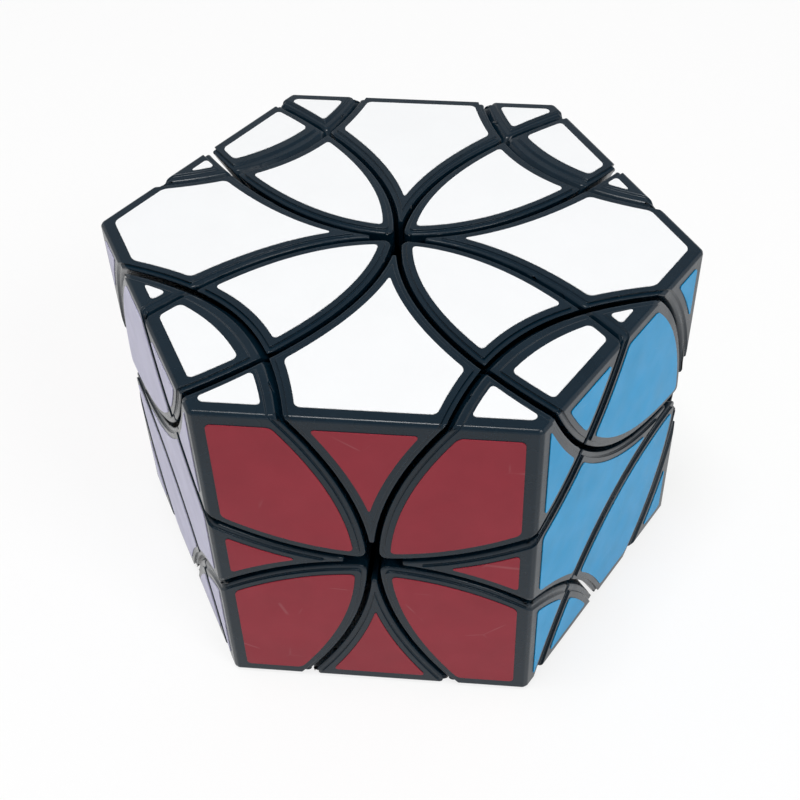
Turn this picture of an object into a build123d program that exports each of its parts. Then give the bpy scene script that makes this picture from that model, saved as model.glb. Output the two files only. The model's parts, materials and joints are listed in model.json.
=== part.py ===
from build123d import *
import itertools
import math
import os

# A hexagonal prism twisty puzzle. Twelve turning axes run from a hub at the middle of the prism,
# towards the twelve edges of a cube that shares its centre. A cone round each axis cuts out the
# layer that turns about it, so the cuts meet in petals, edge pieces and corners.
# Lengths are in millimetres and angles in degrees. X runs left to right, through two of the
# prism's upright ridges, Y runs from front to back and Z points up. The origin is where the
# twelve axes meet.

# Outside of the whole puzzle
PRISM_WIDTH = 90.0  # between two opposite side faces
HEIGHT = 65.0
RIDGE_CHAMFER = 0.5
RIM_WIDTH = 0.9  # of the low shelf that follows every cut
RIM_DEPTH = 0.35  # from the outer faces down to that shelf

# Cuts between the pieces
TURN_HALF_ANGLE = 44.25  # a cone's wall, measured from the axis its layer turns about
PIECE_GAP = 0.8  # between two neighbours, square to the cut
STAR_RADIUS = 4.8  # six stars open where four cuts meet, and blunt the edge pieces
STAR_RIM_WIDTH = 2.6  # of the low shelf on that blunt end
RIM_TIP_RADIUS = 1.4  # of a petal's tip beside a star, on its rim
FACE_TIP_RADIUS = 0.8  # and on its raised face
SHELL_RADIUS = 26.0  # no outer piece comes closer to the centre than this
SHELL_CLEARANCE = 0.3  # between the outer pieces and the feet that turn beneath them

# Feet, which hook under the neighbouring pieces of the same layer
FOOT_THICKNESS = 3.2
FOOT_LENGTH = 5.6
FOOT_WIDTH = 5.0
HOOK_LENGTH = 1.4  # of the foot, past the cut and under the edge piece's wing
CORNER_FOOT_RADIUS = 4.5
CORNER_FOOT_LEAN = 2.5  # towards the axis of the corner's own layer
NECK_LENGTH = 3.6
NECK_WIDTH = 4.0
CORNER_NECK_RADIUS = 3.0
NECK_INSET = 0.4  # between a neck and the wall of its piece
NECK_ROOT = 3.0  # a neck runs this far into its piece, past the shell radius

# Hub, stems and screws
HUB_SEAT = 11.0  # centre of the hub to each of its twelve seats
SEAT_CLEARANCE = 0.3
STEM_RADIUS = 4.2
STEM_ROOT = 3.0  # a stem's end stands this far into its cap, past the shell radius
STEM_FLOOR = 3.0  # under the screw's spring
SCREW_RADIUS = 1.1
SCREW_DEPTH = 6.0  # into the hub
SCREW_HEAD_RADIUS = 2.3
SCREW_HEAD_THICKNESS = 1.4
SPRING_LENGTH = 3.8  # room between the stem's floor and the screw's head
BORE_CLEARANCE = 0.2
THREAD_CLEARANCE = 0.05

# Worked out from the sizes above
CONE_REACH = PRISM_WIDTH + HEIGHT
FOOT_TOP_RADIUS = SHELL_RADIUS - SHELL_CLEARANCE
STEM_FOOT = HUB_SEAT + SEAT_CLEARANCE
STEM_TOP = SHELL_RADIUS + STEM_ROOT
SPRING_SEAT = STEM_FOOT + STEM_FLOOR
SCREW_HEAD_SEAT = SPRING_SEAT + SPRING_LENGTH

# A solid placed on a plane that looks outwards stands on it or hangs under it
OUTWARDS = (Align.CENTER, Align.CENTER, Align.MIN)
INWARDS = (Align.CENTER, Align.CENTER, Align.MAX)

# The six directions that the pieces are named after, in the order used in their names
SIDES = {
    "front": Vector(0, -1, 0),
    "back": Vector(0, 1, 0),
    "right": Vector(1, 0, 0),
    "left": Vector(-1, 0, 0),
    "top": Vector(0, 0, 1),
    "bottom": Vector(0, 0, -1),
}


def square_sets(count):
    """Every set of sides, of the given size, that are all square to each other."""
    return [
        sides
        for sides in itertools.combinations(SIDES, count)
        if all(SIDES[a].dot(SIDES[b]) == 0 for a, b in itertools.combinations(sides, 2))
    ]


EDGES = square_sets(2)  # two sides name an edge piece and its turning axis
CORNERS = square_sets(3)  # three sides name a corner


def middle(sides):
    """Direction from the centre that lies midway between some sides."""
    return sum((SIDES[side] for side in sides), Vector(0, 0, 0)).normalized()


def neighbours(edge):
    """The four edges whose turning axes stand 60 degrees from this one, so that their cuts cross."""
    return [other for other in EDGES if len(set(edge) & set(other)) == 1]


def between(start, end, angle):
    """Direction that lies the given angle from start, on the way to end."""
    across = (end - start * start.dot(end)).normalized()
    turn = math.radians(angle)
    return start * math.cos(turn) + across * math.sin(turn)


def looking_along(direction, distance, across):
    """Plane square to a direction from the centre, with its own x axis as near as can be to across."""
    x_axis = across - direction * direction.dot(across)
    return Plane(origin=direction * distance, x_dir=x_axis, z_dir=direction)


def turning_cone(edge, inset, mode, away):
    """Cut with the cone round an edge's axis, its wall moved inwards by the inset.

    The seam of a round cutter is turned away from the piece, where no other cut crosses it.
    """
    tip = inset / math.sin(math.radians(TURN_HALF_ANGLE))
    mouth = CONE_REACH * math.tan(math.radians(TURN_HALF_ANGLE))
    with Locations(looking_along(middle(edge), tip, away)):
        Cone(0, mouth, CONE_REACH, align=OUTWARDS, mode=mode)


def cut_to_layers(inside, outside, inset, away):
    """Keep what lies in every layer of the first list and in none of the second."""
    for edge in inside:
        turning_cone(edge, inset, Mode.INTERSECT, away)
    for edge in outside:
        turning_cone(edge, -inset, Mode.SUBTRACT, away)


def home_edge(edges):
    """The edge piece whose wing holds a foot down: the front and back ones of top and bottom first."""
    return min(edges, key=lambda edge: ("right" in edge or "left" in edge, EDGES.index(edge)))


def save(piece, label):
    """Label a finished piece and write its file."""
    piece.part.label = label
    export_step(piece.part, f"parts/{label}.step")


os.makedirs("parts", exist_ok=True)


# ---------------------------------------------------------------- the uncut prism
def make_prism(drop):
    """The whole puzzle before it is cut, with every face moved inwards by the drop."""
    with BuildPart() as prism:
        with BuildSketch(Plane.XY.offset(drop - HEIGHT / 2)):
            RegularPolygon(radius=PRISM_WIDTH / 2 - drop, side_count=6, major_radius=False)
        extrude(amount=HEIGHT - 2 * drop)
        chamfer(prism.edges(), RIDGE_CHAMFER)
    return prism.part


# Each outer piece is cut twice and joined: once low, for its rim, and once high, for its face.
# A level holds the uncut prism, how far the cuts stand back, and the radii of stars and tips.
RIM_LEVEL = (make_prism(RIM_DEPTH), PIECE_GAP / 2, STAR_RADIUS, RIM_TIP_RADIUS)
FACE_INSET = PIECE_GAP / 2 + RIM_WIDTH
FACE_LEVEL = (make_prism(0), FACE_INSET, STAR_RADIUS + STAR_RIM_WIDTH, FACE_TIP_RADIUS)
LEVELS = (RIM_LEVEL, FACE_LEVEL)


# ---------------------------------------------------------------- edge pieces
def make_edge_cap(edge):
    """Outer half of an edge piece, with round wings over the feet and a pocket for its stem."""
    axis = middle(edge)
    ridge = SIDES[edge[0]].cross(SIDES[edge[1]])
    # behind the piece, and to one side of it, where a neighbour's cut takes its own cone's wall
    away = middle(neighbours(edge)[0]) - axis * 2
    levels = []
    for prism, inset, star_radius, tip_radius in LEVELS:
        with BuildPart() as level:
            add(prism)
            with Locations(looking_along(ridge, 0, away)):
                Cylinder(SHELL_RADIUS, PRISM_WIDTH, mode=Mode.SUBTRACT)
            cut_to_layers([edge], neighbours(edge), inset, away)
            for side in edge:
                with Locations(looking_along(SIDES[side], 0, away)):
                    Cylinder(star_radius, PRISM_WIDTH, align=OUTWARDS, mode=Mode.SUBTRACT)
        levels.append(level.part)
    with BuildPart() as cap:
        add(levels)
        with BuildSketch(looking_along(axis, 0, SIDES[edge[0]])):
            RegularPolygon(radius=STEM_RADIUS, side_count=6)
        extrude(amount=STEM_TOP, mode=Mode.SUBTRACT)
    return cap


def make_edge_stem(edge):
    """Inner half of an edge piece: a hexagonal post, bored for its screw and spring."""
    axis = middle(edge)
    with BuildPart() as stem:
        with BuildSketch(looking_along(axis, STEM_FOOT, SIDES[edge[0]])):
            RegularPolygon(radius=STEM_RADIUS, side_count=6)
        extrude(amount=STEM_TOP - STEM_FOOT)
        with Locations(looking_along(axis, STEM_TOP, SIDES[edge[0]])):
            CounterBoreHole(
                radius=SCREW_RADIUS + BORE_CLEARANCE,
                counter_bore_radius=SCREW_HEAD_RADIUS + BORE_CLEARANCE,
                counter_bore_depth=STEM_TOP - SPRING_SEAT,
                depth=STEM_TOP - STEM_FOOT,
            )
    return stem


for edge in EDGES:
    place = "_".join(edge)
    save(make_edge_cap(edge), f"edge_cap_{place}")
    save(make_edge_stem(edge), f"edge_stem_{place}")


# ---------------------------------------------------------------- petals
def make_petal(side, corner):
    """Leaf-shaped piece between two edge pieces, with a foot under the wing of its home edge."""
    edges = [edge for edge in EDGES if side in edge and set(edge) < set(corner)]
    beyond = [edge for edge in EDGES if side not in edge and set(edge) < set(corner)]
    home = home_edge(edges)
    other = [edge for edge in edges if edge != home][0]
    underside = between(SIDES[side], middle(corner), (90 - TURN_HALF_ANGLE) / 2)
    # the foot and its neck lie on the way from the other edge's axis to the home edge's axis
    foot_half_length = FOOT_LENGTH / 2
    foot_corner = math.hypot(foot_half_length, FOOT_WIDTH / 2)
    foot_top = math.sqrt(FOOT_TOP_RADIUS**2 - foot_corner**2)
    foot_swing = math.degrees((HOOK_LENGTH - foot_half_length) / foot_top)
    neck_swing = math.degrees((PIECE_GAP / 2 + NECK_INSET + NECK_LENGTH / 2) / SHELL_RADIUS)
    foot_way = between(middle(other), middle(home), TURN_HALF_ANGLE + foot_swing)
    neck_way = between(middle(other), middle(home), TURN_HALF_ANGLE - neck_swing)
    neck_foot = foot_top - FOOT_THICKNESS / 2
    levels = []
    for prism, inset, star_radius, tip_radius in LEVELS:
        with BuildPart() as level:
            add(prism)
            split(bisect_by=looking_along(underside, SHELL_RADIUS, middle(home)), keep=Keep.TOP)
            cut_to_layers(edges, beyond, inset, -underside)
            # its two cuts meet in a sharp tip beside the star, so that tip is rounded
            tip = level.edges().sort_by(lambda line: (line @ 0.5).normalized().dot(SIDES[side]))[-1]
            fillet(tip, tip_radius)
        levels.append(level.part)
    with BuildPart() as petal:
        add(levels)
        with Locations(looking_along(foot_way, foot_top, middle(home))):
            Box(FOOT_LENGTH, FOOT_WIDTH, FOOT_THICKNESS, align=INWARDS)
        with Locations(looking_along(neck_way, neck_foot, middle(home))):
            neck_height = SHELL_RADIUS + NECK_ROOT - neck_foot
            Box(NECK_LENGTH, NECK_WIDTH, neck_height, align=OUTWARDS)
    return petal


# ---------------------------------------------------------------- corners
def make_corner(corner):
    """Three-sided piece where three layers overlap, with a foot under the petals beside it."""
    edges = [edge for edge in EDGES if set(edge) < set(corner)]
    home = middle(home_edge(edges))
    outwards = middle(corner)
    from_home = math.degrees(math.acos(home.dot(outwards)))
    foot_way = between(home, outwards, from_home - CORNER_FOOT_LEAN)
    foot_top = math.sqrt(FOOT_TOP_RADIUS**2 - CORNER_FOOT_RADIUS**2)
    levels = []
    for prism, inset, star_radius, tip_radius in LEVELS:
        with BuildPart() as level:
            add(prism)
            split(bisect_by=looking_along(outwards, SHELL_RADIUS, home), keep=Keep.TOP)
            cut_to_layers(edges, [], inset, -outwards)
        levels.append(level.part)
    with BuildPart() as piece:
        add(levels)
        with BuildSketch(looking_along(foot_way, foot_top, -home)):
            RegularPolygon(radius=CORNER_FOOT_RADIUS, side_count=6)
        extrude(amount=-FOOT_THICKNESS)
        with BuildSketch(looking_along(foot_way, foot_top - FOOT_THICKNESS / 2, -home)):
            RegularPolygon(radius=CORNER_NECK_RADIUS, side_count=6)
        extrude(amount=SHELL_RADIUS + NECK_ROOT - foot_top)
    return piece


for corner in CORNERS:
    save(make_corner(corner), "corner_" + "_".join(corner))
    for side in corner:
        others = "_".join(name for name in corner if name != side)
        save(make_petal(side, corner), f"petal_{side}_{others}")

# ---------------------------------------------------------------- hub and screws
with BuildPart() as hub:
    # three square bars that cross leave a solid with twelve equal faces, one under each stem
    with BuildSketch(Plane.XY):
        Rectangle(2 * HUB_SEAT, 2 * HUB_SEAT, rotation=45)
    extrude(amount=2 * HUB_SEAT, both=True)
    for plane in (Plane.XZ, Plane.YZ):
        with BuildSketch(plane):
            Rectangle(2 * HUB_SEAT, 2 * HUB_SEAT, rotation=45)
        extrude(amount=2 * HUB_SEAT, both=True, mode=Mode.INTERSECT)
    for edge in EDGES:
        with Locations(looking_along(middle(edge), HUB_SEAT, SIDES[edge[0]])):
            Hole(radius=SCREW_RADIUS + THREAD_CLEARANCE, depth=SCREW_DEPTH)
save(hub, "hub")

with BuildPart() as axle_screws:
    for edge in EDGES:
        with Locations(looking_along(middle(edge), SCREW_HEAD_SEAT, SIDES[edge[0]])):
            shank = SCREW_HEAD_SEAT - HUB_SEAT + SCREW_DEPTH
            Cylinder(SCREW_HEAD_RADIUS, SCREW_HEAD_THICKNESS, align=OUTWARDS)
            Cylinder(SCREW_RADIUS, shank, align=INWARDS)
save(axle_screws, "axle_screws")
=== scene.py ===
# %% [markdown]
# # A hexagonal twisty puzzle
#
# The puzzle is a hexagonal prism that turns about twelve axes. Its moulded pieces come from the
# CAD model, which is the fixed frame of this scene: the pieces, their gaps and the screws inside
# are already at their real size and place, in metres. What is left to do here is what makes it
# look like a real toy: soft moulded edges, satin black plastic, thin vinyl stickers with rounded
# corners, springs on the axles, and quiet studio light.

# %% Load the frame
import itertools
import json
import math

import bmesh
import bpy
from mathutils import Matrix, Vector


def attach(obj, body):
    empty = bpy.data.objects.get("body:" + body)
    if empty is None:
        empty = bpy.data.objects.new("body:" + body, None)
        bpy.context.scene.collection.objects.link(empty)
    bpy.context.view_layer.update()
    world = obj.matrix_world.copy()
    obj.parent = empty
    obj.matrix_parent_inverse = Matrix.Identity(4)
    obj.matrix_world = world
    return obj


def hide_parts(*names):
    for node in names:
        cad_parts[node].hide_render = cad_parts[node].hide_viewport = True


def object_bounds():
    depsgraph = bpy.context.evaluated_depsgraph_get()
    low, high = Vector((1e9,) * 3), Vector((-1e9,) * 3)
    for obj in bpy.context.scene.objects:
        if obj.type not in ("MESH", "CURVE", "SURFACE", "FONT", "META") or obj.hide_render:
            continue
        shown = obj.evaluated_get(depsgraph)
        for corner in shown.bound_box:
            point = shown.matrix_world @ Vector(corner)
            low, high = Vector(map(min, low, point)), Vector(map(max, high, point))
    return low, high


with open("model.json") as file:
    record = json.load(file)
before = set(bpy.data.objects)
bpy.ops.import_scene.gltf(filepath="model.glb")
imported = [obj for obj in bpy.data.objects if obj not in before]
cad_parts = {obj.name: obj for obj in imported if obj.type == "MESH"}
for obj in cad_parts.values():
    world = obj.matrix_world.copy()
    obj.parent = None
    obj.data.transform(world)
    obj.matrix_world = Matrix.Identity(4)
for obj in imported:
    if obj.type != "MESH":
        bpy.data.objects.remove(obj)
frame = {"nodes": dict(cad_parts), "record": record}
cad_low, cad_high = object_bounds()
MM = 0.001
scene = bpy.context.scene
print("CAD box in mm:", [round(size / MM, 2) for size in cad_high - cad_low])

# %% [markdown]
# ## Camera
#
# The puzzle is seen from above and slightly from the right, so that the top, the front and two
# slanting sides show. The camera is only 24 cm from its middle, so the far sides look clearly
# smaller than the near one. The small shift moves the puzzle in the frame without tilting the
# camera, as cropping a larger picture would.

# %% Camera
CAMERA_PLACE = (0.0227, -0.1729, 0.1629)  # metres, the middle of the puzzle is at the origin
CAMERA_TURN = (48.05, 0.35, 4.89)  # degrees: tilt up from straight down, roll, pan to the left
CAMERA_LENS = 57.15
CAMERA_SHIFT = (-0.0486, -0.0634)
CAMERA_NEAR = 0.01

camera = bpy.data.objects.new("camera", bpy.data.cameras.new("camera"))
scene.collection.objects.link(camera)
camera.location = CAMERA_PLACE
camera.rotation_euler = [math.radians(angle) for angle in CAMERA_TURN]
camera.data.lens = CAMERA_LENS
camera.data.shift_x, camera.data.shift_y = CAMERA_SHIFT
camera.data.clip_start = CAMERA_NEAR
scene.camera = camera
scene.view_settings.view_transform = "Standard"
print("camera is", round(camera.location.length, 3), "m from the middle of the puzzle")

# %% [markdown]
# ## The twelve axes and the cuts
#
# Two of the six main sides name an edge piece and its turning axis, three name a corner, and a
# petal is named after the side it faces and its two neighbours. So a piece's name tells which
# layers it lies in, and which layers' cuts pass beside it. Each cut is a cone round its layer's
# axis. The stickers will need those cones, because a sticker follows the cuts round its piece.

# %% Sides, edges and which cuts bound a piece
SIDES = {
    "front": Vector((0, -1, 0)),
    "back": Vector((0, 1, 0)),
    "right": Vector((1, 0, 0)),
    "left": Vector((-1, 0, 0)),
    "top": Vector((0, 0, 1)),
    "bottom": Vector((0, 0, -1)),
}
EDGES = [
    pair for pair in itertools.combinations(SIDES, 2) if SIDES[pair[0]].dot(SIDES[pair[1]]) == 0
]
OUTER_KINDS = ("edge_cap", "petal", "corner")


def layers_of(node):
    """The layers that an outer piece lies in, and the layers whose cuts pass beside it."""
    names = [word for word in node.split("_") if word in SIDES]
    if node.startswith("edge_cap"):
        inside = [tuple(names)]
        outside = [edge for edge in EDGES if len(set(edge) & set(names)) == 1]
    elif node.startswith("petal"):
        inside = [edge for edge in EDGES if names[0] in edge and set(edge) < set(names)]
        outside = [edge for edge in EDGES if set(edge) == set(names[1:])]
    else:
        inside = [edge for edge in EDGES if set(edge) < set(names)]
        outside = []
    return inside, outside


body_of_node = {
    node: body
    for body, nodes in frame["record"]["behaviour"]["bodies"].items()
    for node in nodes
}
outer_nodes = sorted(node for node in frame["nodes"] if node.startswith(OUTER_KINDS))
print(len(EDGES), "turning axes,", len(outer_nodes), "outer pieces")

# %% [markdown]
# ## Shader node groups
#
# Three effects are used by more than one material: a fine surface that breaks up the gloss as
# injection-moulded plastic does, a faint clouding of the colour, and sparse hair-thin scratches.
# Their nodes could be repeated in each material, but as a small group with named inputs each is
# built once, and a change to it reaches every material. The groups only put out colours, masks
# and heights, and every material keeps its own Principled shader.


# %% Helpers for node trees
def add_node(tree, kind, **values):
    """A node with its inputs set by name."""
    node = tree.nodes.new(kind)
    for name, value in values.items():
        node.inputs[name.replace("_", " ")].default_value = value
    return node


def new_group(name, inputs, outputs):
    """An empty shader node group with float or colour sockets, and its two end nodes."""
    tree = bpy.data.node_groups.new(name, "ShaderNodeTree")
    for label, kind in inputs:
        tree.interface.new_socket(label, in_out="INPUT", socket_type=kind)
    for label, kind in outputs:
        tree.interface.new_socket(label, in_out="OUTPUT", socket_type=kind)
    return tree, tree.nodes.new("NodeGroupInput"), tree.nodes.new("NodeGroupOutput")


FLOAT, COLOUR = "NodeSocketFloat", "NodeSocketColor"


# %% Group: fine moulded surface
def make_fine_surface():
    """Roughness that wanders a little, and the height of a very fine grain."""
    tree, start, end = new_group(
        "fine surface",
        [("Roughness", FLOAT), ("Spread", FLOAT), ("Grain", FLOAT)],
        [("Roughness", FLOAT), ("Height", FLOAT)],
    )
    place = tree.nodes.new("ShaderNodeTexCoord")
    patches = add_node(tree, "ShaderNodeTexNoise", Scale=180.0, Detail=3.0)
    grain = add_node(tree, "ShaderNodeTexNoise", Scale=4200.0, Detail=2.0)
    centred = tree.nodes.new("ShaderNodeMath")
    centred.operation = "SUBTRACT"
    centred.inputs[1].default_value = 0.5
    wander = tree.nodes.new("ShaderNodeMath")
    wander.operation = "MULTIPLY_ADD"
    height = tree.nodes.new("ShaderNodeMath")
    height.operation = "MULTIPLY"
    link = tree.links.new
    link(place.outputs["Object"], patches.inputs["Vector"])
    link(place.outputs["Object"], grain.inputs["Vector"])
    link(patches.outputs["Fac"], centred.inputs[0])
    link(centred.outputs[0], wander.inputs[0])
    link(start.outputs["Spread"], wander.inputs[1])
    link(start.outputs["Roughness"], wander.inputs[2])
    link(grain.outputs["Fac"], height.inputs[0])
    link(start.outputs["Grain"], height.inputs[1])
    link(wander.outputs[0], end.inputs["Roughness"])
    link(height.outputs[0], end.inputs["Height"])
    return tree


fine_surface = make_fine_surface()
print("group:", fine_surface.name)


# %% Group: faint clouding of a colour
def make_clouding():
    """A colour that drifts between two close shades in patches a few millimetres wide."""
    tree, start, end = new_group(
        "clouding",
        [("Colour", COLOUR), ("Other", COLOUR), ("Scale", FLOAT)],
        [("Colour", COLOUR)],
    )
    place = tree.nodes.new("ShaderNodeTexCoord")
    clouds = add_node(tree, "ShaderNodeTexNoise", Detail=4.0, Roughness=0.6)
    ramp = tree.nodes.new("ShaderNodeValToRGB")
    ramp.color_ramp.elements[0].position = 0.35
    ramp.color_ramp.elements[1].position = 0.7
    mix = tree.nodes.new("ShaderNodeMix")
    mix.data_type = "RGBA"
    link = tree.links.new
    link(place.outputs["Object"], clouds.inputs["Vector"])
    link(start.outputs["Scale"], clouds.inputs["Scale"])
    link(clouds.outputs["Fac"], ramp.inputs["Fac"])
    link(ramp.outputs["Color"], mix.inputs["Factor"])
    link(start.outputs["Colour"], mix.inputs["A"])
    link(start.outputs["Other"], mix.inputs["B"])
    link(mix.outputs["Result"], end.inputs["Colour"])
    return tree


clouding = make_clouding()
print("group:", clouding.name)


# %% Group: hair-thin scratches
def make_scratches():
    """A mask of sparse thin scratches: the edges of stretched cells, kept in a few patches only."""
    tree, start, end = new_group("scratches", [("Amount", FLOAT)], [("Mask", FLOAT)])
    place = tree.nodes.new("ShaderNodeTexCoord")
    stretch = tree.nodes.new("ShaderNodeMapping")
    stretch.inputs["Rotation"].default_value = (0.5, 0.9, 0.4)
    stretch.inputs["Scale"].default_value = (60.0, 230.0, 90.0)
    cells = tree.nodes.new("ShaderNodeTexVoronoi")
    cells.feature = "DISTANCE_TO_EDGE"
    cells.inputs["Scale"].default_value = 1.0
    thin = tree.nodes.new("ShaderNodeMapRange")
    thin.inputs["From Min"].default_value = 0.012
    thin.inputs["From Max"].default_value = 0.004
    where = add_node(tree, "ShaderNodeTexNoise", Scale=140.0, Detail=1.0)
    few = tree.nodes.new("ShaderNodeMapRange")
    few.inputs["From Min"].default_value = 0.62
    few.inputs["From Max"].default_value = 0.7
    both = tree.nodes.new("ShaderNodeMath")
    both.operation = "MULTIPLY"
    amount = tree.nodes.new("ShaderNodeMath")
    amount.operation = "MULTIPLY"
    link = tree.links.new
    link(place.outputs["Object"], stretch.inputs["Vector"])
    link(stretch.outputs["Vector"], cells.inputs["Vector"])
    link(cells.outputs["Distance"], thin.inputs["Value"])
    link(place.outputs["Object"], where.inputs["Vector"])
    link(where.outputs["Fac"], few.inputs["Value"])
    link(thin.outputs["Result"], both.inputs[0])
    link(few.outputs["Result"], both.inputs[1])
    link(both.outputs[0], amount.inputs[0])
    link(start.outputs["Amount"], amount.inputs[1])
    link(amount.outputs[0], end.inputs["Mask"])
    return tree


scratches = make_scratches()
print("group:", scratches.name)

# %% [markdown]
# ## Materials
#
# The body is satin black plastic with a slight blue cast. The stickers are vinyl: smoother than
# the body, a touch uneven in colour, with a few light scratches. Both are built the same way from
# the three groups, so one function takes the colours and the finish. A bump at most a few
# hundredths of a millimetre high keeps the highlights from being perfectly even.


# %% One builder for plastic and vinyl
def make_finish(name, colour, other, roughness, specular, grain, scratch_colour, scratched):
    """A moulded or printed surface: clouded colour, wandering roughness, grain and scratches."""
    material = bpy.data.materials.new(name)
    material.use_nodes = True
    tree = material.node_tree
    shader = tree.nodes["Principled BSDF"]
    shader.inputs["Specular IOR Level"].default_value = specular
    clouds = tree.nodes.new("ShaderNodeGroup")
    clouds.node_tree = clouding
    clouds.inputs["Colour"].default_value = (*colour, 1.0)
    clouds.inputs["Other"].default_value = (*other, 1.0)
    clouds.inputs["Scale"].default_value = 130.0
    surface = tree.nodes.new("ShaderNodeGroup")
    surface.node_tree = fine_surface
    surface.inputs["Roughness"].default_value = roughness
    surface.inputs["Spread"].default_value = 0.22
    surface.inputs["Grain"].default_value = grain
    marks = tree.nodes.new("ShaderNodeGroup")
    marks.node_tree = scratches
    marks.inputs["Amount"].default_value = scratched
    scratch = tree.nodes.new("ShaderNodeMix")
    scratch.data_type = "RGBA"
    scratch.inputs["B"].default_value = (*scratch_colour, 1.0)
    bump = tree.nodes.new("ShaderNodeBump")
    bump.inputs["Strength"].default_value = 0.35
    bump.inputs["Distance"].default_value = 0.02 * MM
    link = tree.links.new
    link(clouds.outputs["Colour"], scratch.inputs["A"])
    link(marks.outputs["Mask"], scratch.inputs["Factor"])
    link(scratch.outputs["Result"], shader.inputs["Base Color"])
    link(surface.outputs["Roughness"], shader.inputs["Roughness"])
    link(surface.outputs["Height"], bump.inputs["Height"])
    link(bump.outputs["Normal"], shader.inputs["Normal"])
    return material


# %% Black plastic and the hub's grey plastic
body_plastic = make_finish(
    "satin black plastic",
    colour=(0.0015, 0.0110, 0.0210),
    other=(0.0025, 0.0135, 0.0250),
    roughness=0.27,
    specular=0.29,
    grain=1.0,
    scratch_colour=(0.030, 0.034, 0.038),
    scratched=0.15,
)
hub_plastic = make_finish(
    "matt hub plastic",
    colour=(0.030, 0.031, 0.034),
    other=(0.040, 0.041, 0.044),
    roughness=0.55,
    specular=0.4,
    grain=1.5,
    scratch_colour=(0.080, 0.080, 0.085),
    scratched=0.2,
)
print("materials:", body_plastic.name, "and", hub_plastic.name)

# %% [markdown]
# Each face of the puzzle has its own sticker colour. Printed vinyl is nearly even in colour, so
# the two shades that the clouding drifts between are close together, and a scratch shows as a
# paler line. The colours differ and the finish doesn't, so a loop makes all eight materials.

# %% Sticker vinyl, one material for each colour
FACE_COLOURS = {
    "top": "white",
    "bottom": "yellow",
    "front": "red",
    "back": "orange",
    "front_right": "blue",
    "front_left": "lavender",
    "back_right": "green",
    "back_left": "pink",
}
STICKER_COLOURS = {
    "white": (0.86, 0.87, 0.88),
    "red": (0.306, 0.024, 0.040),
    "blue": (0.012, 0.332, 0.658),
    "lavender": (0.620, 0.608, 0.795),
    "orange": (0.800, 0.230, 0.030),
    "green": (0.030, 0.310, 0.095),
    "pink": (0.740, 0.200, 0.370),
    "yellow": (0.830, 0.640, 0.040),
}


def shade(colour, factor):
    """The same colour, lighter or darker."""
    return [channel * factor for channel in colour]


def towards_white(colour, share):
    """The same colour, washed out."""
    return [channel + (1 - channel) * share for channel in colour]


sticker_vinyl = {
    name: make_finish(
        f"{name} vinyl",
        colour=colour,
        other=shade(colour, 0.985 if name == "white" else 0.88),
        roughness=0.42,
        specular=0.20,
        grain=0.6,
        scratch_colour=towards_white(colour, 0.25),
        scratched=0.16,
    )
    for name, colour in STICKER_COLOURS.items()
}
print("vinyl colours:", ", ".join(sticker_vinyl))

# %% [markdown]
# The screws and springs are zinc-plated steel. Bare metal has no colour under its surface to
# cloud or scratch, so it gets a small material of its own and not the plastic's. The plating is
# never quite even, and a fine noise varies its tint and its roughness.


# %% Zinc-plated steel
def make_steel():
    """Zinc-plated steel with a finely mottled tint and gloss."""
    material = bpy.data.materials.new("zinc-plated steel")
    material.use_nodes = True
    tree = material.node_tree
    shader = tree.nodes["Principled BSDF"]
    shader.inputs["Metallic"].default_value = 1.0
    place = tree.nodes.new("ShaderNodeTexCoord")
    mottle = add_node(tree, "ShaderNodeTexNoise", Scale=900.0, Detail=3.0)
    ramp = tree.nodes.new("ShaderNodeMapRange")
    ramp.inputs["To Min"].default_value = 0.22
    ramp.inputs["To Max"].default_value = 0.42
    tint = tree.nodes.new("ShaderNodeMix")
    tint.data_type = "RGBA"
    tint.inputs["A"].default_value = (0.56, 0.57, 0.58, 1.0)
    tint.inputs["B"].default_value = (0.66, 0.66, 0.65, 1.0)
    link = tree.links.new
    link(place.outputs["Object"], mottle.inputs["Vector"])
    link(mottle.outputs["Fac"], ramp.inputs["Value"])
    link(mottle.outputs["Fac"], tint.inputs["Factor"])
    link(ramp.outputs["Result"], shader.inputs["Roughness"])
    link(tint.outputs["Result"], shader.inputs["Base Color"])
    return material


steel = make_steel()
print("material:", steel.name)

# %% [markdown]
# ## Inside the puzzle
#
# The hub, the stems and the screws keep their CAD shape and only get a finish. The outer pieces
# hide them, apart from what a half-turned layer may leave in view.

# %% Finish of the hub, stems and screws
INNER_FINISH = {"hub": hub_plastic, "edge_stem": body_plastic, "axle_screws": steel}

for node, piece in frame["nodes"].items():
    for kind, material in INNER_FINISH.items():
        if node.startswith(kind):
            piece.data.materials.clear()
            piece.data.materials.append(material)
print(sum(not node.startswith(OUTER_KINDS) for node in frame["nodes"]), "inner pieces finished")

# %% [markdown]
# ## Moulded edges
#
# An injection-moulded piece has no sharp edges: the mould and the polishing leave a radius of a
# few tenths of a millimetre, and that radius is what catches the light round every groove. The
# CAD mesh is loose triangles, so each outer piece is a merged copy of it: its doubles are joined
# and flat areas become single faces. A Bevel modifier then rounds the edges that can be seen.
# Each of those carries a bevel weight, because a groove's lip is rounder than the small step of
# the rim beside it, and a ridge's chamfer lies between the two. Edges deep inside stay as they
# are. They are marked sharp, so that the shading doesn't smear round them when a layer is turned
# and they come into view.

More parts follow.
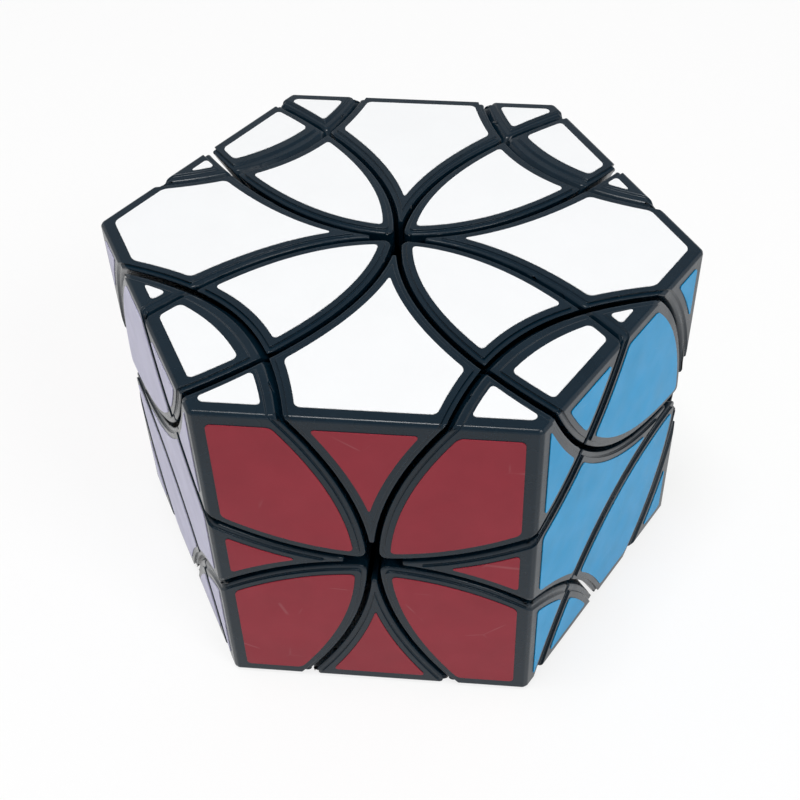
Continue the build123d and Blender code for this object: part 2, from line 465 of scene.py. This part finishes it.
# %% Sizes of the moulded edges
LIP_ROUNDING = 0.38 * MM
STEP_SHARE = 0.30  # of the lip's rounding, for the rim's step
RIDGE_SHARE = 0.55  # of the lip's rounding, for the two sides of each ridge's chamfer
RIDGE_REACH = 0.6 * MM  # a ridge lies this near to two faces of the prism
SKIN_DEPTH = 0.7 * MM  # an edge that lies deeper than this below the faces stays sharp
MERGE_DISTANCE = 0.02 * MM
FLAT_ANGLE = math.radians(0.4)  # faces that differ by less than this become one
SHARP_ANGLE = math.radians(20)  # an edge sharper than this is a real one, not a curve's facet
LIP_ANGLE = math.radians(46)  # a lip is sharper than this, the rim's step and the ridges blunter
RIM_DEPTH = 0.35 * MM  # how far the rim lies below the face
FLUSH = 0.05 * MM  # a point this near to a face counts as on it
LIP_SEGMENTS = 3
FLAT_WEIGHT = 90  # how much the large faces set the shading beside a rounded edge
print("lip rounding in mm:", round(LIP_ROUNDING / MM, 2))

# %% The eight flat faces of the prism
FACE_NORMALS = {"top": SIDES["top"], "bottom": SIDES["bottom"]}
for name, turn in (
    ("front", -90),
    ("front_right", -30),
    ("back_right", 30),
    ("back", 90),
    ("back_left", 150),
    ("front_left", 210),
):
    FACE_NORMALS[name] = Vector((math.cos(math.radians(turn)), math.sin(math.radians(turn)), 0))


def face_distance(name):
    """How far a face of the prism lies from its middle."""
    return cad_high.z if name in ("top", "bottom") else cad_high.y


def depths_below(point):
    """How far a point lies below the nearest face of the prism, and below the second nearest."""
    return sorted(face_distance(name) - point.dot(way) for name, way in FACE_NORMALS.items())[:2]


print("faces:", ", ".join(FACE_NORMALS))


# %% Which edges are rounded, and how much
def bevel_weight(edge):
    """Full on a groove's lip, less on the rim's step and the ridges, none on what is hidden."""
    if len(edge.link_faces) != 2 or edge.calc_face_angle() < SHARP_ANGLE:
        return 0.0
    depths, second_depths = zip(*(depths_below(corner.co) for corner in edge.verts))
    if max(depths) > SKIN_DEPTH:
        return 0.0
    if max(second_depths) < RIDGE_REACH and max(depths) < FLUSH:
        return RIDGE_SHARE
    on_rim = min(depths) > RIM_DEPTH / 2
    is_lip = edge.is_convex and on_rim and edge.calc_face_angle() > LIP_ANGLE
    return 1.0 if is_lip else STEP_SHARE


def merged_copy(node):
    """A new mesh of a CAD node with joined corners, whole flat faces and bevel weights."""
    mesh = frame["nodes"][node].data.copy()
    work = bmesh.new()
    work.from_mesh(mesh)
    bmesh.ops.remove_doubles(work, verts=work.verts, dist=MERGE_DISTANCE)
    bmesh.ops.dissolve_limit(work, angle_limit=FLAT_ANGLE, verts=work.verts, edges=work.edges)
    weight = work.edges.layers.float.new("bevel_weight_edge")
    for edge in work.edges:
        edge[weight] = bevel_weight(edge)
        edge.smooth = edge[weight] > 0 or edge.calc_face_angle(0.0) < SHARP_ANGLE
    work.to_mesh(mesh)
    work.free()
    mesh.materials.clear()
    return mesh


# %% The 44 moulded pieces
for node in outer_nodes:
    mesh = merged_copy(node)
    piece = bpy.data.objects.new(f"moulded_{node}", mesh)
    scene.collection.objects.link(piece)
    mesh.materials.append(body_plastic)
    mesh.shade_smooth()
    rounding = piece.modifiers.new("moulded edges", "BEVEL")
    rounding.width = LIP_ROUNDING
    rounding.segments = LIP_SEGMENTS
    rounding.limit_method = "WEIGHT"
    rounding.use_clamp_overlap = False
    flats = piece.modifiers.new("flat faces stay flat", "WEIGHTED_NORMAL")
    flats.weight = FLAT_WEIGHT
    flats.keep_sharp = True
    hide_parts(node)
    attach(piece, body_of_node[node])
print(len(outer_nodes), "moulded pieces")

# %% [markdown]
# ## Stickers
#
# Each face of each outer piece has a sticker of its own, die-cut from thin vinyl: 92 in all. The
# die follows the piece's outline at a constant distance, so a sticker starts as a thin plate as
# large as the face inside its ridges. It is kept inside the cones of its own layers and outside
# those of its neighbours, each cone moved by half the gap, the rim and the sticker's margin. The
# small end that a side petal has on the top or bottom gets a narrow margin, or little of its
# sticker would be left.
#
# A Boolean against cones leaves slanting sides and uneven points. So only the outer outline of
# the cut plate is kept. It is extruded straight down, and each upright corner is bevelled by as
# much as its two sides have room for. That gives the round corners that a die cuts.

# %% Sizes of the stickers
PIECE_GAP = 0.8 * MM
RIM_WIDTH = 0.9 * MM
STICKER_MARGIN = 1.0 * MM
SMALL_MARGIN = 0.25 * MM  # on the small end that a side petal has on the top or bottom
RIDGE_MARGIN = 2.3 * MM
STICKER_THICKNESS = 0.15 * MM
STICKER_SINK = 0.02 * MM  # the glue side lies a hair below the plastic, so the two never flicker
CORNER_CUT = 0.85 * MM  # how far a corner's rounding reaches along each side
CORNER_ROOM = 1.15 * CORNER_CUT  # a curve's points that are nearer to a corner are left out
CORNER_ANGLE = math.radians(15)  # an outline has a corner where it turns more sharply than this
CORNER_SEGMENTS = 5
SHARED_SIDE, OWN_SIDE = 0.48, 0.95  # share of a short side for a rounding at both ends, or at one
DIE_EDGE = 0.05 * MM  # the rounding that the die leaves along a sticker's edges
DIE_EDGE_ANGLE = math.radians(60)
DIE_EDGE_SEGMENTS = 2
FACING = 0.99  # a face of a cut plate looks outwards if its normal is this near to the face's
RIM_INSET = PIECE_GAP / 2 + RIM_WIDTH
print("from a cut to the sticker in mm:", round((RIM_INSET + STICKER_MARGIN) / MM, 2))


# %% Helpers for meshes
def new_piece(name, work):
    """An object of a bmesh, which is freed."""
    mesh = bpy.data.meshes.new(name)
    work.to_mesh(mesh)
    work.free()
    piece = bpy.data.objects.new(name, mesh)
    scene.collection.objects.link(piece)
    return piece


def standing_on(direction, distance):
    """Places a mesh made about Z so that it looks along a direction from the centre."""
    turn = direction.to_track_quat("Z", "Y").to_matrix().to_4x4()
    return Matrix.Translation(direction * distance) @ turn


# %% The cones that cut the stickers
TURN_HALF_ANGLE = math.radians(44.25)
CONE_SEGMENTS = 144
CONE_START, CONE_END = 12 * MM, 90 * MM
INNER, OUTER = 1, -1  # on the inside of a cut the cone moves in, on the outside out


def make_cutter(edge, inset):
    """The cone round a turning axis, with its wall moved inwards by the inset."""
    axis = (SIDES[edge[0]] + SIDES[edge[1]]).normalized()
    slope = math.tan(TURN_HALF_ANGLE)
    work = bmesh.new()
    bmesh.ops.create_cone(
        work,
        cap_ends=True,
        segments=CONE_SEGMENTS,
        radius1=CONE_START * slope,
        radius2=CONE_END * slope,
        depth=CONE_END - CONE_START,
    )
    middle = inset / math.sin(TURN_HALF_ANGLE) + (CONE_START + CONE_END) / 2
    bmesh.ops.transform(work, matrix=standing_on(axis, middle), verts=work.verts)
    return new_piece("cutter", work)


cutters = {
    (margin, side): {edge: make_cutter(edge, side * (RIM_INSET + margin)) for edge in EDGES}
    for margin in (STICKER_MARGIN, SMALL_MARGIN)
    for side in (INNER, OUTER)
}
print("cutters:", sum(len(family) for family in cutters.values()))


# %% A plate as large as a face inside its ridges
PRISM_SIDES = 6
HALF_SIDE = math.pi / PRISM_SIDES  # half the angle that a side of the prism fills, from above


def make_plate(face, name):
    """Thin vinyl over a whole face: a hexagon on the top and bottom, an oblong on a side."""
    work = bmesh.new()
    if face in ("top", "bottom"):
        radius = (cad_high.y - RIDGE_MARGIN) / math.cos(HALF_SIDE)
        bmesh.ops.create_cone(
            work, cap_ends=True, segments=PRISM_SIDES, radius1=radius, radius2=radius, depth=1.0
        )
        bmesh.ops.rotate(work, verts=work.verts, matrix=Matrix.Rotation(HALF_SIDE, 3, "Z"))
        size = (1, 1, STICKER_THICKNESS + STICKER_SINK)
    else:
        bmesh.ops.create_cube(work, size=1.0)
        width = 2 * (cad_high.y * math.tan(HALF_SIDE) - RIDGE_MARGIN)
        size = (width, 2 * (cad_high.z - RIDGE_MARGIN), STICKER_THICKNESS + STICKER_SINK)
    bmesh.ops.scale(work, vec=size, verts=work.verts)
    middle = face_distance(face) + (STICKER_THICKNESS - STICKER_SINK) / 2
    bmesh.ops.transform(work, matrix=standing_on(FACE_NORMALS[face], middle), verts=work.verts)
    return new_piece(name, work)


def reaches(node, face):
    """Whether an outer piece has some of a face of the prism."""
    way, distance = FACE_NORMALS[face], face_distance(face)
    corners = frame["nodes"][node].data.vertices
    on_face = [corner for corner in corners if abs(corner.co.dot(way) - distance) < MERGE_DISTANCE]
    return len(on_face) > 2


def is_small(node, face):
    """Whether a sticker lies on the small end of a petal, on the top or bottom."""
    return face in ("top", "bottom") and node.startswith("petal") and f"petal_{face}" not in node


# %% Cut the plates
plates = {}
for face in FACE_NORMALS:
    for node in outer_nodes:
        if not reaches(node, face):
            continue
        plate = make_plate(face, f"sticker_{face}_{node}")
        inside, outside = layers_of(node)
        margin = SMALL_MARGIN if is_small(node, face) else STICKER_MARGIN
        cuts = [(cutters[margin, INNER][edge], "INTERSECT") for edge in inside]
        cuts += [(cutters[margin, OUTER][edge], "DIFFERENCE") for edge in outside]
        for cutter, operation in cuts:
            cut = plate.modifiers.new("cut", "BOOLEAN")
            cut.operation = operation
            cut.solver = "EXACT"
            cut.object = cutter
        plates[plate] = (node, face)
depsgraph = bpy.context.evaluated_depsgraph_get()
cut_meshes = {
    plate.name: bpy.data.meshes.new_from_object(plate.evaluated_get(depsgraph)) for plate in plates
}
for family in cutters.values():
    for cutter in family.values():
        bpy.data.objects.remove(cutter)
print("stickers:", len(plates))


# %% Outlines with room at their corners
def outline_of(mesh, way):
    """The points round the outer face of a cut plate."""
    work = bmesh.new()
    work.from_mesh(mesh)
    bmesh.ops.remove_doubles(work, verts=work.verts, dist=MERGE_DISTANCE / 10)
    bmesh.ops.dissolve_limit(work, angle_limit=FLAT_ANGLE, verts=work.verts, edges=work.edges)
    outer = max(
        (face for face in work.faces if face.normal.dot(way) > FACING),
        key=lambda face: face.calc_area(),
    )
    points = [corner.co.copy() for corner in outer.verts]
    work.free()
    return points


def turn_at(points, place):
    """How sharply an outline turns at one of its points."""
    before, here, after = points[place - 1], points[place], points[(place + 1) % len(points)]
    return (here - before).angle(after - here, 0.0)


def corner_places(points):
    """Where an outline has its corners."""
    return [place for place in range(len(points)) if turn_at(points, place) > CORNER_ANGLE]


def with_room(points):
    """An outline without the points close beside each corner, so that its rounding has room."""
    corners = set(corner_places(points))
    for place in sorted(set(range(len(points))) - corners):
        beside = {(place - 1) % len(points), (place + 1) % len(points)}
        gaps = [(points[place] - points[other]).length for other in corners & beside]
        if min(gaps, default=CORNER_ROOM) < CORNER_ROOM:
            return with_room(points[:place] + points[place + 1 :])
    return points


def corner_offsets(points):
    """How far each corner of an outline is cut back along its two sides."""
    count = len(points)
    corners = corner_places(points)
    offsets = {}
    for place in corners:
        offsets[place] = CORNER_CUT
        for other in ((place - 1) % count, (place + 1) % count):
            side = (points[place] - points[other]).length
            share = SHARED_SIDE if other in corners else OWN_SIDE
            offsets[place] = min(offsets[place], side * share)
    return offsets


# %% Die-cut stickers
def upright_at(corner, moved):
    """The edge that joins a corner of an outline to its copy on the glue side."""
    return next(edge for edge in corner.link_edges if edge.other_vert(corner) in moved)


def die_cut(mesh, way):
    """Vinyl with the outline of a cut plate, straight sides and rounded corners."""
    points = with_room(outline_of(mesh, way))
    work = bmesh.new()
    corners = [work.verts.new(point) for point in points]
    outer = work.faces.new(corners)
    depth = way * (STICKER_THICKNESS + STICKER_SINK)
    walls = bmesh.ops.extrude_face_region(work, geom=[outer], use_keep_orig=True)
    moved = [item for item in walls["geom"] if isinstance(item, bmesh.types.BMVert)]
    bmesh.ops.translate(work, verts=moved, vec=-depth)
    bmesh.ops.recalc_face_normals(work, faces=work.faces)
    offsets = corner_offsets(points)
    uprights = {place: upright_at(corners[place], moved) for place in offsets}
    for place, edge in uprights.items():
        bmesh.ops.bevel(
            work,
            geom=[edge],
            affect="EDGES",
            offset=offsets[place],
            segments=CORNER_SEGMENTS,
            profile=0.5,
            material=-1,
            clamp_overlap=False,
        )
    return work


for plate, (node, face) in plates.items():
    work = die_cut(cut_meshes[plate.name], FACE_NORMALS[face])
    plate.modifiers.clear()
    work.to_mesh(plate.data)
    work.free()
    plate.data.shade_smooth()
    edge_rounding = plate.modifiers.new("die-cut edge", "BEVEL")
    edge_rounding.width = DIE_EDGE
    edge_rounding.segments = DIE_EDGE_SEGMENTS
    edge_rounding.limit_method = "ANGLE"
    edge_rounding.angle_limit = DIE_EDGE_ANGLE
    edge_rounding.use_clamp_overlap = False
    flats = plate.modifiers.new("flat faces stay flat", "WEIGHTED_NORMAL")
    flats.weight = FLAT_WEIGHT
    colour = FACE_COLOURS[face]
    plate.data.materials.clear()
    plate.data.materials.append(sticker_vinyl[colour])
    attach(plate, body_of_node[node])
print("stickers finished:", len(plates))

# %% [markdown]
# ## Springs
#
# Under each screw's head a small compression spring keeps its edge piece pressed towards the
# hub, and gives a little when a layer is turned. A curve with a round profile could make it too.
# Here a ring the size of the wire is spun round the axis while it climbs, because that gives a
# closed mesh at once.

# %% Twelve springs
SPRING_SEAT, SPRING_END = 14.3 * MM, 18.1 * MM
SPRING_RADIUS = 1.78 * MM
WIRE_RADIUS = 0.25 * MM
SPRING_TURNS = 4.5
STEPS_A_TURN = 24
WIRE_SIDES = 8


def make_spring(edge):
    """A coil spring round a turning axis, between the stem's floor and the screw's head."""
    axis = (SIDES[edge[0]] + SIDES[edge[1]]).normalized()
    steps = round(SPRING_TURNS * STEPS_A_TURN)
    climb = SPRING_END - SPRING_SEAT - 2 * WIRE_RADIUS
    work = bmesh.new()
    start = Matrix.Translation((SPRING_RADIUS, 0, WIRE_RADIUS))
    upright = Matrix.Rotation(math.radians(90), 4, "X")
    bmesh.ops.create_circle(
        work, segments=WIRE_SIDES, radius=WIRE_RADIUS, matrix=start @ upright
    )
    bmesh.ops.spin(
        work,
        geom=work.verts[:] + work.edges[:],
        cent=(0, 0, 0),
        axis=(0, 0, 1),
        dvec=(0, 0, climb / steps),
        angle=math.tau * SPRING_TURNS,
        steps=steps,
    )
    bmesh.ops.holes_fill(work, edges=[side for side in work.edges if side.is_boundary])
    bmesh.ops.recalc_face_normals(work, faces=work.faces)
    bmesh.ops.transform(work, matrix=standing_on(axis, SPRING_SEAT), verts=work.verts)
    spring = new_piece("spring_" + "_".join(edge), work)
    spring.data.shade_smooth()
    spring.data.materials.append(steel)
    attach(spring, "body_band")
    return spring


springs = [make_spring(edge) for edge in EDGES]
print("springs:", len(springs))

# %% [markdown]
# ## Floor and light
#
# The puzzle stands on a plain white table inside a wide ring of white wall, so that a low view
# shows white too. To the camera, in reflections and through glass, most of their look is a plain
# white glow, and the rest is a real lit surface. That keeps a faint shadow under the puzzle. The
# glow is hidden from all other rays, so it puts no extra light on the colours.

# %% White table
FLOOR_SIZE = 6.0
FLOOR_HEIGHT = cad_low.z - STICKER_THICKNESS - 0.02 * MM  # a hair below the lowest stickers
FLOOR_LIFT = 0.8  # how much of the table's look is the white glow
TABLE_GREY = 0.93


def make_table_white():
    """A matt white surface that glows for the camera, in reflections and through glass only."""
    material = bpy.data.materials.new("white table")
    material.use_nodes = True
    tree = material.node_tree
    shader = tree.nodes["Principled BSDF"]
    shader.inputs["Base Color"].default_value = (TABLE_GREY, TABLE_GREY, TABLE_GREY, 1.0)
    shader.inputs["Roughness"].default_value = 0.9
    rays = tree.nodes.new("ShaderNodeLightPath")
    camera_or_glossy = tree.nodes.new("ShaderNodeMath")
    camera_or_glossy.operation = "MAXIMUM"
    seen = tree.nodes.new("ShaderNodeMath")
    seen.operation = "MAXIMUM"
    lift = tree.nodes.new("ShaderNodeMath")
    lift.operation = "MULTIPLY"
    lift.inputs[1].default_value = FLOOR_LIFT
    glow = add_node(tree, "ShaderNodeEmission", Color=(1.0, 1.0, 1.0, 1.0), Strength=1.0)
    mix = tree.nodes.new("ShaderNodeMixShader")
    link = tree.links.new
    link(rays.outputs["Is Camera Ray"], camera_or_glossy.inputs[0])
    link(rays.outputs["Is Glossy Ray"], camera_or_glossy.inputs[1])
    link(camera_or_glossy.outputs[0], seen.inputs[0])
    link(rays.outputs["Is Transmission Ray"], seen.inputs[1])
    link(seen.outputs[0], lift.inputs[0])
    link(lift.outputs[0], mix.inputs["Fac"])
    link(shader.outputs["BSDF"], mix.inputs[1])
    link(glow.outputs["Emission"], mix.inputs[2])
    link(mix.outputs["Shader"], tree.nodes["Material Output"].inputs["Surface"])
    return material


table_white = make_table_white()
work = bmesh.new()
bmesh.ops.create_grid(work, x_segments=1, y_segments=1, size=FLOOR_SIZE / 2)
bmesh.ops.translate(work, verts=work.verts, vec=(0, 0, FLOOR_HEIGHT))
floor = new_piece("floor", work)
floor.data.materials.append(table_white)
print("table:", FLOOR_SIZE, "m square")

# %% Wall round the table
WALL_RADIUS, WALL_HEIGHT = 2.9, 1.6
WALL_SEGMENTS = 96

work = bmesh.new()
bmesh.ops.create_cone(
    work,
    cap_ends=False,
    segments=WALL_SEGMENTS,
    radius1=WALL_RADIUS,
    radius2=WALL_RADIUS,
    depth=WALL_HEIGHT,
)
bmesh.ops.translate(work, verts=work.verts, vec=(0, 0, FLOOR_HEIGHT + WALL_HEIGHT / 2))
wall = new_piece("wall", work)
wall.data.shade_smooth()
wall.data.materials.append(table_white)
print("wall:", WALL_HEIGHT, "m high,", WALL_RADIUS, "m away")

# %% [markdown]
# Even light from the world fills the shadows. A soft lamp overhead gives the top its brightness
# and every ridge a thin bright line. The second lamp lights the front from the right and not from
# behind the camera, so the chamfer below that line mirrors the darker room and stays dark, which
# is what makes an edge look crisp. A weak third one lifts the right-hand side. Together they are
# just strong enough that a colour looks about as it is written.

# %% World and lamps
WORLD_STRENGTH = 0.38

world = bpy.data.worlds.new("studio")
world.use_nodes = True
background = world.node_tree.nodes["Background"]
background.inputs["Color"].default_value = (1.0, 1.0, 1.0, 1.0)
background.inputs["Strength"].default_value = WORLD_STRENGTH
scene.world = world


def add_lamp(name, place, size, power):
    """A square soft lamp that looks at the middle of the puzzle."""
    lamp = bpy.data.lights.new(name, "AREA")
    lamp.size = size
    lamp.energy = power
    holder = bpy.data.objects.new(name, lamp)
    scene.collection.objects.link(holder)
    holder.location = place
    holder.rotation_euler = (-Vector(place)).to_track_quat("-Z", "Y").to_euler()


add_lamp("overhead lamp", (-0.1, -0.1, 0.95), 0.25, 5.0)
add_lamp("front lamp", (0.60, -0.50, 0.70), 0.3, 2.9)
add_lamp("side lamp", (0.9, 0.1, 0.35), 0.5, 0.3)
print("lamps:", len(bpy.data.lights))
